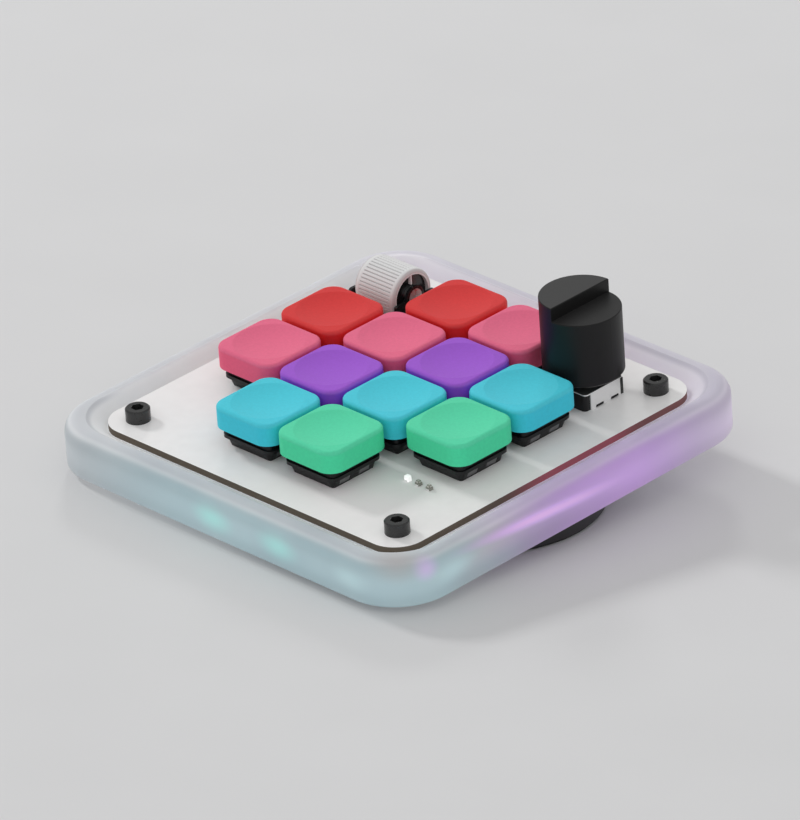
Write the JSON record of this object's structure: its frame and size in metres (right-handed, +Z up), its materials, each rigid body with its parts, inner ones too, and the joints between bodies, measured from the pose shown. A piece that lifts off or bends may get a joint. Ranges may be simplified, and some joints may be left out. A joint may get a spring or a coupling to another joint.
{
  "type": "desk keypad",
  "caption": "Square desk keypad: low coloured keycaps, a push-and-turn knob and a ribbed roller on a bare white board in a frosted tray on a wedge foot.",
  "frame": {"origin": "middle of the foot's sole, on the table", "axes": "+X to the user's right, +Y away from the user, +Z up; the tray and its board are tipped 5 degrees about X, rear edge up"},
  "size_m": [0.1092, 0.1094, 0.0428],
  "materials": {
    "frosted_case": "frosted, slightly see-through, lit from inside",
    "white_board": "smooth lacquer",
    "black_steel": "black oxide, satin",
    "bright_steel": "bright, finely brushed",
    "brass": "satin",
    "black_plastic": "satin moulded",
    "black_gloss": "polished",
    "black_knob": "fine matt",
    "black_rubber": "matt",
    "stem_black": "satin moulded",
    "lamp_white": "clear resin",
    "roller_white": "satin, ribbed",
    "keycap_red": "fine matt grain",
    "keycap_pink": "fine matt grain",
    "keycap_purple": "fine matt grain",
    "keycap_cyan": "fine matt grain",
    "keycap_green": "fine matt grain"
  },
  "bodies": {
    "tray": {"case_frame": "frosted_case", "bottom_plate": "frosted_case", "bottom_screws": "black_steel", "case_screws": "black_steel", "case_inserts": "brass", "foot_wedge": "black_plastic", "foot_sole": "black_rubber", "foot_screws": "black_steel", "board": "white_board", "socket_board": "white_board", "board_link": "black_plastic", "cable_socket": "bright_steel", "controller_chip": "black_plastic", "glow_leds": "lamp_white", "status_led_1": "lamp_white", "status_led_2": "lamp_white", "status_led_3": "lamp_white", "switch_bases": "black_plastic", "switch_covers": "black_plastic", "switch_pins": "brass", "switch_springs": "bright_steel", "encoder_body": "black_plastic", "encoder_cover": "bright_steel", "roller_frame": "black_gloss", "roller_axle": "bright_steel"},
    "key_r1c2": {"stem_r1c2": "stem_black", "keycap_r1c2": "keycap_red"},
    "key_r1c3": {"stem_r1c3": "stem_black", "keycap_r1c3": "keycap_pink"},
    "key_r2c1": {"stem_r2c1": "stem_black", "keycap_r2c1": "keycap_red"},
    "key_r2c2": {"stem_r2c2": "stem_black", "keycap_r2c2": "keycap_pink"},
    "key_r2c3": {"stem_r2c3": "stem_black", "keycap_r2c3": "keycap_purple"},
    "key_r2c4": {"stem_r2c4": "stem_black", "keycap_r2c4": "keycap_cyan"},
    "key_r3c1": {"stem_r3c1": "stem_black", "keycap_r3c1": "keycap_pink"},
    "key_r3c2": {"stem_r3c2": "stem_black", "keycap_r3c2": "keycap_purple"},
    "key_r3c3": {"stem_r3c3": "stem_black", "keycap_r3c3": "keycap_cyan"},
    "key_r3c4": {"stem_r3c4": "stem_black", "keycap_r3c4": "keycap_green"},
    "key_r4c2": {"stem_r4c2": "stem_black", "keycap_r4c2": "keycap_cyan"},
    "key_r4c3": {"stem_r4c3": "stem_black", "keycap_r4c3": "keycap_green"},
    "encoder_push": {"encoder_plunger": "black_plastic"},
    "knob_turn": {"encoder_shaft": "bright_steel", "knob": "black_knob"},
    "roller_turn": {"roller": "roller_white", "roller_core": "black_gloss"}
  },
  "joints": [
    {"name": "key_r1c2_press", "type": "slide", "parent": "tray", "child": "key_r1c2", "axis": [0, 0.0872, -0.9962], "range_m": [0, 0.003], "stiffness_N_per_m": 100, "springref_m": -0.0015, "deforming": ["switch_springs"]},
    {"name": "key_r1c3_press", "type": "slide", "parent": "tray", "child": "key_r1c3", "axis": [0, 0.0872, -0.9962], "range_m": [0, 0.003], "stiffness_N_per_m": 100, "springref_m": -0.0015, "deforming": ["switch_springs"]},
    {"name": "key_r2c1_press", "type": "slide", "parent": "tray", "child": "key_r2c1", "axis": [0, 0.0872, -0.9962], "range_m": [0, 0.003], "stiffness_N_per_m": 100, "springref_m": -0.0015, "deforming": ["switch_springs"]},
    {"name": "key_r2c2_press", "type": "slide", "parent": "tray", "child": "key_r2c2", "axis": [0, 0.0872, -0.9962], "range_m": [0, 0.003], "stiffness_N_per_m": 100, "springref_m": -0.0015, "deforming": ["switch_springs"]},
    {"name": "key_r2c3_press", "type": "slide", "parent": "tray", "child": "key_r2c3", "axis": [0, 0.0872, -0.9962], "range_m": [0, 0.003], "stiffness_N_per_m": 100, "springref_m": -0.0015, "deforming": ["switch_springs"]},
    {"name": "key_r2c4_press", "type": "slide", "parent": "tray", "child": "key_r2c4", "axis": [0, 0.0872, -0.9962], "range_m": [0, 0.003], "stiffness_N_per_m": 100, "springref_m": -0.0015, "deforming": ["switch_springs"]},
    {"name": "key_r3c1_press", "type": "slide", "parent": "tray", "child": "key_r3c1", "axis": [0, 0.0872, -0.9962], "range_m": [0, 0.003], "stiffness_N_per_m": 100, "springref_m": -0.0015, "deforming": ["switch_springs"]},
    {"name": "key_r3c2_press", "type": "slide", "parent": "tray", "child": "key_r3c2", "axis": [0, 0.0872, -0.9962], "range_m": [0, 0.003], "stiffness_N_per_m": 100, "springref_m": -0.0015, "deforming": ["switch_springs"]},
    {"name": "key_r3c3_press", "type": "slide", "parent": "tray", "child": "key_r3c3", "axis": [0, 0.0872, -0.9962], "range_m": [0, 0.003], "stiffness_N_per_m": 100, "springref_m": -0.0015, "deforming": ["switch_springs"]},
    {"name": "key_r3c4_press", "type": "slide", "parent": "tray", "child": "key_r3c4", "axis": [0, 0.0872, -0.9962], "range_m": [0, 0.003], "stiffness_N_per_m": 100, "springref_m": -0.0015, "deforming": ["switch_springs"]},
    {"name": "key_r4c2_press", "type": "slide", "parent": "tray", "child": "key_r4c2", "axis": [0, 0.0872, -0.9962], "range_m": [0, 0.003], "stiffness_N_per_m": 100, "springref_m": -0.0015, "deforming": ["switch_springs"]},
    {"name": "key_r4c3_press", "type": "slide", "parent": "tray", "child": "key_r4c3", "axis": [0, 0.0872, -0.9962], "range_m": [0, 0.003], "stiffness_N_per_m": 100, "springref_m": -0.0015, "deforming": ["switch_springs"]},
    {"name": "knob_press", "type": "slide", "parent": "tray", "child": "encoder_push", "axis": [0, 0.0872, -0.9962], "range_m": [0, 0.0005], "stiffness_N_per_m": 1500, "springref_m": -0.0005},
    {"name": "knob_turn", "type": "hinge", "parent": "encoder_push", "child": "knob_turn", "pos_m": [0.02857, 0.02679, 0.02168], "axis": [0, -0.0872, 0.9962], "continuous": true},
    {"name": "roller_turn", "type": "hinge", "parent": "tray", "child": "roller_turn", "pos_m": [-0.02857, 0.02652, 0.02476], "axis": [1, 0, 0], "continuous": true}
  ]
}
